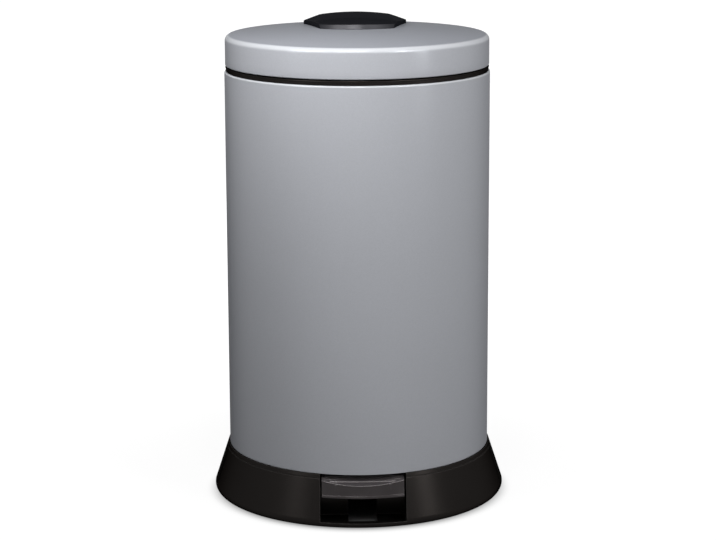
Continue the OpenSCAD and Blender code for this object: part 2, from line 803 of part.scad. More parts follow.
// Place of a tread screw on the lever, y behind the lip
module at_screw(y) {
    translate([0, lip_y - axle_y + y, 0]) children();
}

module tread_screws() {
    color(zinc) lever_place() for (y = tread_screw_y) at_screw(y) translate([0, 0, -0.05])
        pan_screw(1.45, 2 + head_room(y) - 2.8, 3.2, 2);
}

module lever_bush() {
    color(grey) translate([0, axle_y, axle_z]) difference() {
        union() {
            bar_x(5 - 0.02, 31.4);
            for (s = [-1, 1]) bar_x(7, 1.6, s * 14.4);
        }
        bar_x(pin_r + fit, 60);
    }
}

module lever_pin() {
    color(steel) lever_place() translate([0, lever_back, 0]) {
        bar_x(2.5, 29);
        for (s = [-1, 1]) bar_x(4, 1.4, s * 14);
    }
}

module push_rod() {
    color(steel) translate([0, rod_y, foot_z + 5]) cylinder(r = rod_r, h = pin_z - 11.8 - foot_z - 5);
}

// Fork at the top of the rod; the crank's pin lies in its level slots
module rod_yoke() {
    color(grey) translate([0, rod_y, pin_z]) difference() {
        translate([-7.5, -6.6, -18]) cube([15, 13.2, 26]);
        translate([-3.8, -8, -11]) cube([7.6, 16, 30]);
        side_plate(20) {
            square([2 * slot_reach, 5], center = true);
            for (s = [-1, 1]) translate([s * slot_reach, 0]) circle(r = 2.5, $fn = 48);
        }
        translate([0, 0, -19]) cylinder(r = rod_r + 0.02, h = 7.2);
        for (s = [-1, 1], e = [-1, 1]) translate([s * 7.5, e * 6.6, 0]) rotate([0, 0, 45])
            cube([1.6, 1.6, 60], center = true);
    }
}

// Fork at the foot of the rod; the lever's pin lies in its level slot
module rod_foot() {
    color(grey) translate([0, rod_y, foot_z]) difference() {
        union() {
            translate([-9, -7, -6.4]) cube([18, 14, 9]);
            cylinder(r = 6, h = 7);
        }
        side_plate(24) {
            square([1.4, 5.6], center = true);
            for (s = [-1, 1]) translate([s * 0.7, 0]) circle(r = 2.8, $fn = 48);
        }
        translate([0, 0, 4.9]) cylinder(r = rod_r + 0.02, h = 6);
    }
}

// Section of the bucket: tapered wall, foot ring, floor, turned-over rim
module bucket_section() {
    w = bucket_wall;
    z0 = body_z0 + 0.2;
    polygon([
        [0, z0 + 4], [bucket_foot - 8, z0 + 4], [bucket_foot - 6, z0], [bucket_foot - 1.5, z0],
        [bucket_foot, z0 + 1.5], [bucket_r - 3, bucket_top - 60], [bucket_r - 0.8, bucket_top - 57],
        [bucket_r, bucket_top - 1.5], [bucket_r + 4.2, bucket_top - 2.3], [bucket_r + 4.2, bucket_top - 5],
        [bucket_r + 5.2, bucket_top - 5], [bucket_r + 5, bucket_top - 0.8], [bucket_r + 4, bucket_top],
        [bucket_r - w - 1, bucket_top], [bucket_r - w - 0.8, bucket_top - 56.4],
        [bucket_r - w - 3, bucket_top - 60], [bucket_foot - w - 0.6, z0 + 9], [bucket_foot - w - 3, z0 + 6.2],
        [0, z0 + 6.2]
    ]);
}

module bucket() {
    color(grey) difference() {
        union() {
            rotate_extrude() bucket_section();
            for (s = [-1, 1]) translate([s * (bucket_r + 2), bail_bend, bail_z]) bar_x(5.4, 7);
            for (a = [-55, 55]) rotate([0, 0, a]) translate([-3, -bail_r - 3, bail_z - 6.4])
                cube([6, bail_r + 4 - bucket_r, 3.9]);
        }
        for (s = [-1, 1]) translate([s * (bucket_r + 2), bail_bend, bail_z]) bar_x(bail_wire + fit, 10);
        cylinder_well();
    }
}

// Clears the inside of the bucket of the lugs and ears that are set into its wall
module cylinder_well() {
    translate([0, 0, bucket_top - 40]) cylinder(r = bucket_r - bucket_wall - 1, h = 60);
}

// Half ring of wire around the bucket's front, its ends turned in to the ears
module bucket_bail() {
    color(steel) translate([0, 0, bail_z]) {
        rotate([0, 0, 180]) rotate_extrude(angle = 180) translate([bail_r, 0]) circle(r = bail_wire, $fn = 32);
        for (s = [0, 1]) mirror([s, 0, 0]) {
            translate([bail_r - bail_bend, 0, 0]) rotate_extrude(angle = 90)
                translate([bail_bend, 0]) circle(r = bail_wire, $fn = 32);
            translate([bail_r - bail_bend, bail_bend, 0]) rotate([0, -90, 0]) cylinder(r = bail_wire, h = 5);
        }
    }
}

module bail_grip() {
    color(grey) translate([0, 0, bail_z]) rotate([0, 0, 250]) rotate_extrude(angle = 40)
        translate([bail_r, 0]) difference() {
            circle(r = 4.2, $fn = 48);
            circle(r = bail_wire + 0.02, $fn = 48);
        }
}

body_shell();
top_collar();
lid_buffers();
base_skirt();
foot_pads();
base_screws();
base_nuts();
pedal_bracket();
bracket_screws();
pedal_axle();
axle_clips();
rod_guide_low();
rod_guide_top();
guide_screw();
hinge_housing();
housing_screws();
hinge_pin();
pin_caps();
lid_shell();
lid_liner();
lid_grip();
grip_screws();
lid_hinge();
hinge_rivets();
crank_pin();
pedal_tread();
pedal_lever();
tread_screws();
lever_bush();
lever_pin();
push_rod();
rod_yoke();
rod_foot();
bucket();
bucket_bail();
bail_grip();
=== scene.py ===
import math

import bmesh
import bpy
from mathutils import Matrix, Vector


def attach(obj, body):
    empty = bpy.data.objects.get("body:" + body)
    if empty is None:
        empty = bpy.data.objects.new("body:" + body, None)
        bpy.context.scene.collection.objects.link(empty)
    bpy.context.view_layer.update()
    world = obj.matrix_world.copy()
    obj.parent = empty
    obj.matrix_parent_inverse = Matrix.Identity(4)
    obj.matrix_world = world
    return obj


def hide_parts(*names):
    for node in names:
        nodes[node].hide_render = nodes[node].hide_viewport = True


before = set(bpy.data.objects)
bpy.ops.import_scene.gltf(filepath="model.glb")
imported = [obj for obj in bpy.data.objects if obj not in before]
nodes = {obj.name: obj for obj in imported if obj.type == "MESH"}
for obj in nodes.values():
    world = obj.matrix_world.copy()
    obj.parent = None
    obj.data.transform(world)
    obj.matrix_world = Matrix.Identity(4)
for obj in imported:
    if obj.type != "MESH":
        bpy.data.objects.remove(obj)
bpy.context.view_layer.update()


# Camera
# It stands 2.5 m in front of the bin, a little to its left and 0.8 m up. It looks
# down on it by 12 degrees and leans a quarter of a degree to the side.

camera_distance = 2.506
camera_height = 0.798
camera_turn = math.radians(1.757)
camera_dip = 0.21234
camera_lean = math.radians(-0.24)
focal_pixels = 2224.7
picture_width = 716.0
sensor_width = 36.0

camera = bpy.data.objects.new("camera", bpy.data.cameras.new("camera"))
bpy.context.scene.collection.objects.link(camera)
camera.location = (-camera_distance * math.sin(camera_turn), -camera_distance * math.cos(camera_turn),
                   camera_height)
camera.rotation_euler = (Matrix.Rotation(-camera_turn, 4, "Z")
                         @ Matrix.Rotation(math.pi / 2 - camera_dip, 4, "X")
                         @ Matrix.Rotation(camera_lean, 4, "Z")).to_euler()
camera.data.sensor_width = sensor_width
camera.data.lens = focal_pixels * sensor_width / picture_width
camera.data.clip_end = 50.0
bpy.context.scene.camera = camera
bpy.context.scene.view_settings.view_transform = "Standard"


# Lamps
# Two small ones close above the bin's front and a third farther off at its front
# right, a tall one on each side that shines down the skirt, and a wide one behind.


def softbox(name, place, aim, width, height, watts):
    lamp = bpy.data.lights.new(name, "AREA")
    lamp.shape = "RECTANGLE"
    lamp.size = width
    lamp.size_y = height
    lamp.energy = watts
    holder = bpy.data.objects.new(name, lamp)
    bpy.context.scene.collection.objects.link(holder)
    holder.location = place
    holder.rotation_euler = (Vector(aim) - Vector(place)).to_track_quat("-Z", "Y").to_euler()
    holder.visible_camera = False


softbox("front_lamp", (-0.06, -0.52, 0.98), (0, -0.10, 0.42), 0.2, 0.12, 2.2)
softbox("left_lamp", (-0.30, -0.34, 0.78), (-0.05, -0.05, 0.40), 0.2, 0.2, 1.3)
softbox("right_lamp", (0.72, -0.92, 1.08), (0, 0, 0.42), 0.3, 0.3, 5.8)
softbox("left_tall_lamp", (-1.30, -1.00, 0.78), (0, 0, 0.15), 0.40, 0.7, 3.4)
softbox("right_tall_lamp", (1.32, -0.98, 0.78), (0, 0, 0.15), 0.3, 0.9, 5.8)
softbox("rear_lamp", (0.2, 1.9, 0.45), (0, 0, 0.30), 1.4, 0.6, 8.0)


# Room
# White walls seen by the camera and in every reflection, and a weak even light
# from them on all sides of the bin.


class Wire:
    """One output of a node. Arithmetic on it adds the Math nodes that work it out."""

    def __init__(self, board, socket):
        self.board = board
        self.socket = socket

    def maths(self, operation, *values):
        return self.board.node("ShaderNodeMath", {"operation": operation}, dict(enumerate(values)))

    def also(self, name):
        return Wire(self.board, self.socket.node.outputs[name])

    def __add__(self, other):
        return self.maths("ADD", self, other)

    __radd__ = __add__

    def __mul__(self, other):
        return self.maths("MULTIPLY", self, other)

    __rmul__ = __mul__

    def __sub__(self, other):
        return self.maths("SUBTRACT", self, other)

    def __rsub__(self, other):
        return self.maths("SUBTRACT", other, self)

    def __truediv__(self, other):
        return self.maths("DIVIDE", self, other)

    def __pow__(self, power):
        return self.maths("POWER", self, power)

    def __gt__(self, edge):
        return self.maths("GREATER_THAN", self, edge)

    def higher(self, other):
        return self.maths("MAXIMUM", self, other)

    def lower(self, other):
        return self.maths("MINIMUM", self, other)

    def sine(self):
        return self.maths("SINE", self)

    def cosine(self):
        return self.maths("COSINE", self)

    def rest(self, step):
        """What is left over after whole steps."""
        return self.maths("FLOORED_MODULO", self, step)

    def size(self):
        return self.maths("ABSOLUTE", self)

    def ramp(self, start, end):
        """0 below start, 1 above end and a smooth rise between them."""
        return self.board.node("ShaderNodeMapRange", {"interpolation_type": "SMOOTHSTEP"}, {
            "Value": self, "From Min": start, "From Max": end})


class Board:
    """A node tree that is wired up from the script."""

    def __init__(self, tree):
        self.tree = tree
        tree.nodes.clear()

    def plug(self, socket, value):
        if isinstance(value, Wire):
            self.tree.links.new(value.socket, socket)
        elif isinstance(value, list):
            for wire in reversed(value):
                self.tree.links.new(wire.socket, socket)
        elif socket.type == "RGBA" and len(value) == 3:
            socket.default_value = (*value, 1.0)
        else:
            socket.default_value = value

    def node(self, kind, settings=None, sockets=None, out=0):
        made = self.tree.nodes.new(kind)
        for key, value in (settings or {}).items():
            setattr(made, key, value)
        for key, value in (sockets or {}).items():
            self.plug(made.inputs[key], value)
        return Wire(self, made.outputs[out])

    def seen(self):
        """1 for a ray of the camera, or one mirrored or sent on by metal or glass."""
        ray = self.node("ShaderNodeLightPath", out="Is Camera Ray")
        return ray.higher(ray.also("Is Glossy Ray")).higher(ray.also("Is Transmission Ray"))


world = bpy.data.worlds.new("room")
bpy.context.scene.world = world
world.use_nodes = True
room = Board(world.node_tree)
walls = room.node("ShaderNodeBackground", {}, {"Color": (1, 1, 1), "Strength": 1.0})
air = room.node("ShaderNodeBackground", {}, {"Color": (0.95, 0.97, 1.0), "Strength": 0.02})
room_light = room.node("ShaderNodeMixShader", {}, {0: room.seen(), 1: air, 2: walls})
room_end = room.tree.nodes.new("ShaderNodeOutputWorld")
room.plug(room_end.inputs["Surface"], room_light)


# Floor
# Paper whose own colour is dark, so that it throws little light up at the bin. It
# glows white where the camera or a reflection sees it. The glow is turned down close
# to the bin as a painted shadow around the bin's own soft shadow, and is off under
# the bin as painted shade.


class Finish(Board):
    """A material: one Principled surface, whose sockets set() fills."""

    def __init__(self, name, **constants):
        self.material = bpy.data.materials.new(name)
        self.material.use_nodes = True
        super().__init__(self.material.node_tree)
        self.output = self.tree.nodes.new("ShaderNodeOutputMaterial")
        self.shader = self.tree.nodes.new("ShaderNodeBsdfPrincipled")
        self.surface = Wire(self, self.shader.outputs[0])
        self.plug(self.output.inputs["Surface"], self.surface)
        for key, value in constants.items():
            self.set(key.replace("_", " "), value)

    def set(self, name, value):
        self.plug(self.shader.inputs[name], value)

    def glaze(self, share, shade, **constants):
        """Lets a thin metallic gloss of one shade, dark at its edge-on angle, shine through."""
        gloss = self.tree.nodes.new("ShaderNodeBsdfPrincipled")
        metal = {"Metallic": 1.0, "Base Color": shade, "Specular Tint": (0.05, 0.05, 0.05)}
        for key, value in {**metal, **constants}.items():
            self.plug(gloss.inputs[key.replace("_", " ")], value)
        both = self.node("ShaderNodeMixShader", {}, {
            0: share, 1: self.surface, 2: Wire(self, gloss.outputs[0])})
        self.plug(self.output.inputs["Surface"], both)

    def place(self):
        return self.node("ShaderNodeTexCoord", out="Object")

    def axes(self):
        """Object coordinates as three numbers."""
        x = self.node("ShaderNodeSeparateXYZ", {}, {"Vector": self.place()})
        return x, x.also("Y"), x.also("Z")

    def facing(self, axis):
        """How far the piece's own face turns towards one of its axes."""
        normal = self.node("ShaderNodeTexCoord", out="Normal")
        return self.node("ShaderNodeSeparateXYZ", {}, {"Vector": normal}).also(axis)

    def noise(self, scale, detail=2.0, rough=0.5, stretch=None):
        where = self.place()
        if stretch:
            where = self.node("ShaderNodeMapping", {}, {"Vector": where, "Scale": stretch})
        return self.node("ShaderNodeTexNoise", {}, {
            "Vector": where, "Scale": scale, "Detail": detail, "Roughness": rough})

    def tint(self, share, dark, light):
        return self.node("ShaderNodeMix", {"data_type": "RGBA"}, {0: share, 6: dark, 7: light}, 2)

    def wear_on(self, *pieces):
        """Puts the finish on nodes of the frame, by name, or on pieces made here."""
        for piece in pieces:
            thing = nodes[piece] if isinstance(piece, str) else piece
            if not thing.material_slots:
                thing.data.materials.append(self.material)
            for held in thing.material_slots:
                held.material = self.material


floor_mesh = bpy.data.meshes.new("floor")
floor_half = 9
floor_mesh.from_pydata([(-floor_half, -floor_half, 0), (floor_half, -floor_half, 0),
                        (floor_half, floor_half, 0), (-floor_half, floor_half, 0)], [], [(0, 1, 2, 3)])
floor = bpy.data.objects.new("floor", floor_mesh)
bpy.context.scene.collection.objects.link(floor)

paper = Finish("floor_paper", Base_Color=(0.13, 0.13, 0.13), Roughness=0.9, Specular_IOR_Level=0.1)
floor_x, floor_y = paper.axes()[:2]
away = (floor_x * floor_x + floor_y * floor_y) ** 0.5
foot_inside, foot_outside, shadow_end = 0.145, 0.18, 0.75
# painted shadow: the glow dips close to the bin and is zero under it
glow_and_painted_shadow = away.ramp(foot_inside, foot_outside) * (0.91 + 0.13 * away.ramp(foot_outside, shadow_end))
glow = paper.node("ShaderNodeEmission", {}, {"Strength": glow_and_painted_shadow * paper.seen()})
paper.plug(paper.output.inputs["Surface"], paper.node("ShaderNodeAddShader", {}, {0: paper.surface, 1: glow}))
paper.wear_on(floor)


# Base
# One moulding of black polypropylene: a flared skirt, a deck with ribs and the
# recess for the pedal. Spark-eroded grain, and a painted highlight along its edges.

black_plastic = Finish("black_plastic", Specular_IOR_Level=0.0)
mould = black_plastic.noise(7.0, 4.0)
grain = black_plastic.noise(2600.0, 2.0)


def edges(finish, radius):
    """The normal rounded off over radius, and how far it turns away from the face."""
    soft = finish.node("ShaderNodeBevel", {"samples": 6}, {"Radius": radius})
    hard = finish.node("ShaderNodeNewGeometry", out="Normal")
    along = finish.node("ShaderNodeVectorMath", {"operation": "DOT_PRODUCT"}, {0: soft, 1: hard}, "Value")
    return soft, (1 - along).ramp(0.01, 0.12)


def relief(finish, height, strength, depth, under=None):
    sockets = {"Height": height, "Strength": strength, "Distance": depth}
    if under:
        sockets["Normal"] = under
    return finish.node("ShaderNodeBump", {}, sockets)


plastic_soft, plastic_edge_highlight = edges(black_plastic, 0.0011)
dull = black_plastic.tint(mould, (0.0030, 0.0027, 0.0026), (0.0060, 0.0054, 0.0051))
# painted highlight: the colour is tinted lighter along edges
black_plastic.set("Base Color", black_plastic.tint(plastic_edge_highlight * 0.8, dull, (0.060, 0.056, 0.054)))
black_plastic.set("Roughness", 0.46 + mould * 0.10)
plastic_grain = relief(black_plastic, grain, 0.18, 0.00012, plastic_soft)
black_plastic.set("Normal", plastic_grain)
black_plastic.glaze(0.020 + mould * 0.012, (0.38, 0.34, 0.32), Roughness=0.29, Normal=plastic_grain)
black_plastic.wear_on("base_skirt")


# Feet
# Four round rubber pads, each with two grooves below for grip and a barbed stem that
# is pressed into a hole in the wall of the base.

pad_circle = 0.155
pad_section = [
    (0, 0), (1.5, 0), (1.7, 0.35), (2.3, 0.35), (2.5, 0), (3.3, 0), (3.5, 0.35), (4.1, 0.35), (4.3, 0),
    (5.4, 0), (5.8, 0.15), (6, 0.5), (6, 1), (2.4, 1), (2.4, 3.6), (3.1, 3.7), (3.1, 3.9), (2.3, 5.4),
    (1.6, 5.6), (0, 5.6)]


def turned(name, section, steps, crease=40):
    """A piece turned about Z, from the outline of one side of its section in millimetres."""
    lathe = bmesh.new()
    ring = [lathe.verts.new((radius / 1000, 0, height / 1000)) for radius, height in section]
    for start, end in zip(ring, ring[1:]):
        lathe.edges.new((start, end))
    bmesh.ops.spin(lathe, geom=lathe.verts[:] + lathe.edges[:], cent=(0, 0, 0), axis=(0, 0, 1),
                   dvec=(0, 0, 0), angle=2 * math.pi, steps=steps, use_merge=True)
    bmesh.ops.remove_doubles(lathe, verts=lathe.verts, dist=1e-6)
    bmesh.ops.recalc_face_normals(lathe, faces=lathe.faces)
    mesh = bpy.data.meshes.new(name)
    lathe.to_mesh(mesh)
    lathe.free()
    mesh.shade_smooth()
    mesh.set_sharp_from_angle(angle=math.radians(crease))
    return mesh


class Recipe(Board):
    """A tree of geometry nodes with named sizes. make() runs it and keeps the plain mesh."""

    def __init__(self, name, **sizes):
        super().__init__(bpy.data.node_groups.new(name, "GeometryNodeTree"))
        kinds = {"Start": "NodeSocketGeometry", "Finish": "NodeSocketMaterial"}
        for size, value in {"Start": None, **sizes, "Finish": None}.items():
            kind = kinds.get(size) or ("NodeSocketInt" if isinstance(value, int) else "NodeSocketFloat")
            held = self.tree.interface.new_socket(size.replace("_", " "), in_out="INPUT", socket_type=kind)
            if value is not None:
                held.default_value = value
        self.tree.interface.new_socket("Piece", in_out="OUTPUT", socket_type="NodeSocketGeometry")
        self.given = self.tree.nodes.new("NodeGroupInput")
        self.end = self.tree.nodes.new("NodeGroupOutput")

    def size(self, name):
        return Wire(self, self.given.outputs[name])

    def vector(self, x=0.0, y=0.0, z=0.0):
        return self.node("ShaderNodeCombineXYZ", {}, {0: x, 1: y, 2: z})

    def moved(self, shape, **change):
        return self.node("GeometryNodeTransform", {}, {"Geometry": shape, **change})

    def joined(self, *shapes):
        return self.node("GeometryNodeJoinGeometry", {}, {"Geometry": list(shapes)})

    def close(self, shape):
        single = self.node("GeometryNodeRealizeInstances", {}, {"Geometry": shape})
        self.plug(self.end.inputs["Piece"], self.node("GeometryNodeSetMaterial", {}, {
            "Geometry": single, "Material": self.size("Finish")}))

    def make(self, name, start, finish, crease=35, **sizes):
        start.materials.append(finish.material)
        piece = bpy.data.objects.new(name, start)
        bpy.context.scene.collection.objects.link(piece)
        run = piece.modifiers.new(name, "NODES")
        run.node_group = self.tree
        given = {"Finish": finish.material, **{key.replace("_", " "): value for key, value in sizes.items()}}
        for socket in self.tree.interface.items_tree:
            if socket.in_out == "INPUT" and socket.name in given:
                run[socket.identifier] = given[socket.name]
        whole = piece.evaluated_get(bpy.context.evaluated_depsgraph_get())
        mesh = bpy.data.meshes.new_from_object(whole)
        piece.modifiers.remove(run)
        piece.data = mesh
        mesh.materials.clear()
        mesh.materials.append(finish.material)
        mesh.shade_smooth()
        mesh.set_sharp_from_angle(angle=math.radians(crease))
        return piece


circle_of = Recipe("circle_of", Count=4, Radius=0.1, First=0.0)
place_number = circle_of.node("GeometryNodeInputIndex")
place_angle = circle_of.size("First") + place_number * (2 * math.pi) / circle_of.size("Count")
place_x = circle_of.size("Radius") * place_angle.cosine()
place_y = circle_of.size("Radius") * place_angle.sine()
places = circle_of.node("GeometryNodePoints", {}, {
    "Count": circle_of.size("Count"), "Position": circle_of.vector(place_x, place_y)})
circle_of.close(circle_of.node("GeometryNodeInstanceOnPoints", {}, {
    "Points": places, "Instance": circle_of.size("Start"), "Rotation": circle_of.vector(z=place_angle)}))

rubber = Finish("rubber", Specular_IOR_Level=0.2)
bloom = rubber.noise(120.0, 3.0)
rubber.set("Base Color", rubber.tint(bloom, (0.012, 0.012, 0.012), (0.028, 0.027, 0.027)))
rubber.set("Roughness", 0.72 + bloom * 0.12)
rubber.set("Normal", relief(rubber, rubber.noise(1200.0), 0.2, 0.0002, edges(rubber, 0.0005)[0]))

feet = circle_of.make("ringed_feet", turned("foot", pad_section, 48), rubber,
                      Count=4, Radius=pad_circle, First=math.pi / 4)
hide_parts("foot_pads")
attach(feet, "body")


# Pedal bearing
# Two pressed hangers screwed up under the deck carry a drawn steel axle, which two
# clips hold in place. Hangers, screws and clips are zinc-plated, the axle is bright.

zinc_plate = Finish("zinc_plate", Metallic=1.0)
spangle = zinc_plate.noise(240.0, 3.0)
zinc_soft, zinc_edge = edges(zinc_plate, 0.0003)
zinc_dull = zinc_plate.tint(spangle, (0.36, 0.37, 0.39), (0.52, 0.53, 0.56))
zinc_plate.set("Base Color", zinc_plate.tint(zinc_edge, zinc_dull, (0.66, 0.67, 0.69)))
zinc_plate.set("Roughness", 0.30 + spangle * 0.20)
zinc_plate.set("Normal", relief(zinc_plate, spangle, 0.08, 0.0002, zinc_soft))
zinc_plate.wear_on("pedal_bracket", "axle_clips")

cross_screw = Recipe("cross_screw", Shank_Radius=0.0015, Length=0.01,
                     Head_Radius=0.0034, Head_Height=0.0022, Pitch=0.0009)
shank, length, head, dome, pitch = [
    cross_screw.size(name) for name in ("Shank Radius", "Length", "Head Radius", "Head Height", "Pitch")]
core = cross_screw.node("GeometryNodeMeshCylinder", {}, {
    "Vertices": 20, "Radius": shank * 0.80, "Depth": length - shank})
core = cross_screw.moved(core, Translation=cross_screw.vector(z=dome + (length - shank) / 2))
tip = cross_screw.node("GeometryNodeMeshCone", {}, {
    "Vertices": 20, "Radius Top": shank * 0.35, "Radius Bottom": shank * 0.80, "Depth": shank})
tip = cross_screw.moved(tip, Translation=cross_screw.vector(z=dome + length - shank))
helix = cross_screw.node("GeometryNodeCurveSpiral", {}, {
    "Resolution": 20, "Rotations": (length - shank) / pitch, "Height": length - shank,
    "Start Radius": shank * 0.82, "End Radius": shank * 0.78})
ridge = cross_screw.node("GeometryNodeCurvePrimitiveCircle", {"mode": "RADIUS"}, {
    "Resolution": 3, "Radius": shank * 0.18})
thread = cross_screw.node("GeometryNodeCurveToMesh", {}, {
    "Curve": helix, "Profile Curve": ridge, "Fill Caps": True})
thread = cross_screw.moved(thread, Translation=cross_screw.vector(z=dome))
blank = cross_screw.node("GeometryNodeMeshCylinder", {}, {
    "Vertices": 36, "Side Segments": 12, "Fill Segments": 3, "Radius": head, "Depth": dome})
blank = cross_screw.moved(blank, Translation=cross_screw.vector(z=dome / 2))
blank_place = cross_screw.node("GeometryNodeInputPosition")
blank_x = cross_screw.node("ShaderNodeSeparateXYZ", {}, {"Vector": blank_place})
ball_centre, ball_radius = 1.6, 1.75
rise = ball_centre - blank_x.also("Z") / head
narrowed = ((ball_radius ** 2 - rise * rise) ** 0.5).lower(1.0)
blank = cross_screw.node("GeometryNodeSetPosition", {}, {"Geometry": blank, "Position": cross_screw.vector(
    blank_x * narrowed, blank_x.also("Y") * narrowed, blank_x.also("Z"))})
blade = cross_screw.node("GeometryNodeMeshCone", {}, {
    "Vertices": 4, "Radius Top": head * 0.30, "Radius Bottom": head * 0.62, "Depth": dome * 1.3})
blade = cross_screw.moved(blade, Rotation=(0, 0, math.pi / 4))
wings = [cross_screw.moved(blade, Scale=shape) for shape in ((1, 0.28, 1), (0.28, 1, 1))]
cuts = [cross_screw.moved(wing, Translation=cross_screw.vector(z=dome * -0.55)) for wing in wings]
head_cut = cross_screw.node("GeometryNodeMeshBoolean", {"operation": "DIFFERENCE", "solver": "EXACT"}, {
    "Mesh 1": blank, "Mesh 2": cuts})
spot_turn = cross_screw.node(
    "GeometryNodeInputNamedAttribute", {"data_type": "FLOAT_VECTOR"}, {"Name": "turn"})
cross_screw.close(cross_screw.node("GeometryNodeInstanceOnPoints", {}, {
    "Points": cross_screw.size("Start"), "Instance": cross_screw.joined(core, tip, thread, head_cut),
    "Rotation": spot_turn}))


def spots(name, places, turn=(0, 0, 0)):
    """Points in millimetres for the crowns of screw heads, with the shanks towards +Z before the turn."""
    mesh = bpy.data.meshes.new(name)
    mesh.from_pydata([[value / 1000 for value in place] for place in places], [], [])
    turns = mesh.attributes.new("turn", "FLOAT_VECTOR", "POINT")
    for held in turns.data:
        held.vector = turn
    return mesh


def screws(node, body, places, turn, shank_mm, length_mm, head_mm, dome_mm):
    """Cross-head screws in place of one node of the frame, riding a body."""
    made = cross_screw.make(node + "_cut", spots(node, places, turn), zinc_plate,
                            Shank_Radius=shank_mm / 1000, Length=length_mm / 1000,
                            Head_Radius=head_mm / 1000, Head_Height=dome_mm / 1000)
    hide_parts(node)
    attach(made, body)


screws("bracket_screws", "body", [(x, y, 51) for x in (-28, 28) for y in (-30, -10)], (0, 0, 0),
       shank_mm=1.8, length_mm=4.5, head_mm=3.4, dome_mm=2.0)

bright_steel = Finish("bright_steel", Metallic=1.0)
drawn = bright_steel.noise(900.0, 2.0, stretch=(1.0, 1.0, 0.04))
bright_steel.set("Base Color", bright_steel.tint(drawn, (0.48, 0.49, 0.51), (0.62, 0.63, 0.65)))
bright_steel.set("Roughness", 0.22 + drawn * 0.14)
bright_steel.set("Normal", relief(bright_steel, drawn, 0.06, 0.0001, edges(bright_steel, 0.0004)[0]))
bright_steel.wear_on("pedal_axle")


# Pedal lever
# A channel pressed from steel sheet and painted black, with lightening holes. It
# turns on a nylon bush and has a steel pin at its back end.

powder_black = Finish("powder_black", Specular_IOR_Level=0.3)
orange_peel = powder_black.noise(500.0, 2.0)
powder_soft, powder_edge = edges(powder_black, 0.0004)
powder_dull = powder_black.tint(orange_peel, (0.014, 0.014, 0.015), (0.022, 0.022, 0.023))
powder_black.set("Base Color", powder_black.tint(powder_edge * 0.7, powder_dull, (0.06, 0.06, 0.062)))
powder_black.set("Roughness", 0.36 + orange_peel * 0.1)
powder_black.set("Normal", relief(powder_black, orange_peel, 0.2, 0.0003, powder_soft))
powder_black.wear_on("pedal_lever")

nylon = Finish("nylon", Specular_IOR_Level=0.4)
milky = nylon.noise(90.0, 3.0)
nylon.set("Base Color", nylon.tint(milky, (0.22, 0.225, 0.235), (0.30, 0.305, 0.315)))
nylon.set("Roughness", 0.38 + milky * 0.1)
nylon.set("Normal", relief(nylon, nylon.noise(1500.0), 0.12, 0.0001, edges(nylon, 0.0004)[0]))
nylon.wear_on("lever_bush")
bright_steel.wear_on("lever_pin")


# Pedal
# Charcoal plastic, dished from side to side, with grooves across the tread, its tone
# varied by scuffs. Its upward tread faces carry painted light, its lip's edge a
# painted highlight, and two screws hold it to the lever.

charcoal_plastic = Finish("charcoal_plastic", Specular_IOR_Level=0.0)
scuff = charcoal_plastic.noise(60.0, 5.0)
grit = charcoal_plastic.noise(2200.0, 2.0)
charcoal_soft, charcoal_edge = edges(charcoal_plastic, 0.0010)
charcoal_x, charcoal_y, charcoal_z = charcoal_plastic.axes()
# painted light: upward tread faces above the ledge get a much lighter colour
painted_light_tread_mask = charcoal_plastic.facing("Z").ramp(0.5, 0.8) * charcoal_z.ramp(0.037, 0.040)
charcoal_face = charcoal_plastic.tint(scuff, (0.011, 0.0095, 0.0095), (0.018, 0.0155, 0.0155))
charcoal_scuff_and_painted_light = charcoal_plastic.tint(scuff, (0.050, 0.045, 0.047), (0.085, 0.077, 0.080))
charcoal_face_and_painted_light = charcoal_plastic.tint(painted_light_tread_mask, charcoal_face, charcoal_scuff_and_painted_light)
lip_middle, lip_rise, lip_front = 0.046, 2.74, 0.1485
over_lip = charcoal_z - lip_middle - charcoal_x * charcoal_x * lip_rise
on_lip = over_lip.ramp(-0.0016, -0.0008) * (charcoal_y * -1).ramp(lip_front - 0.003, lip_front)
# painted highlight: the lip's edge is tinted pale in the colour
lip_painted_highlight = charcoal_edge.ramp(0.05, 0.6) * (0.01 + 0.99 * on_lip)
charcoal_plastic.set("Base Color", charcoal_plastic.tint(lip_painted_highlight, charcoal_face_and_painted_light, (0.50, 0.46, 0.46)))
charcoal_plastic.set("Roughness", 0.42 + scuff * 0.16)
charcoal_grain = relief(charcoal_plastic, grit, 0.2, 0.00012, charcoal_soft)
charcoal_plastic.set("Normal", charcoal_grain)
charcoal_plastic.glaze(0.045 + scuff * 0.02 + painted_light_tread_mask * 0.11, (0.50, 0.46, 0.47),
                       Roughness=0.24, Normal=charcoal_grain)
charcoal_plastic.wear_on("pedal_tread")

lever_lean = math.radians(-4.79334)
axle_y, axle_z, lever_end, head_lift = -20, 28.5, -155.534 + 20, 0.05
tread_places = []
for behind in (12, 25):
    along = lever_end + behind
    tread_places.append((0, axle_y + along * math.cos(lever_lean) + head_lift * math.sin(lever_lean),
                         axle_z + along * math.sin(lever_lean) - head_lift * math.cos(lever_lean)))
screws("tread_screws", "pedal", tread_places, (lever_lean, 0, 0),
       shank_mm=1.45, length_mm=6.9, head_mm=3.2, dome_mm=2.0)
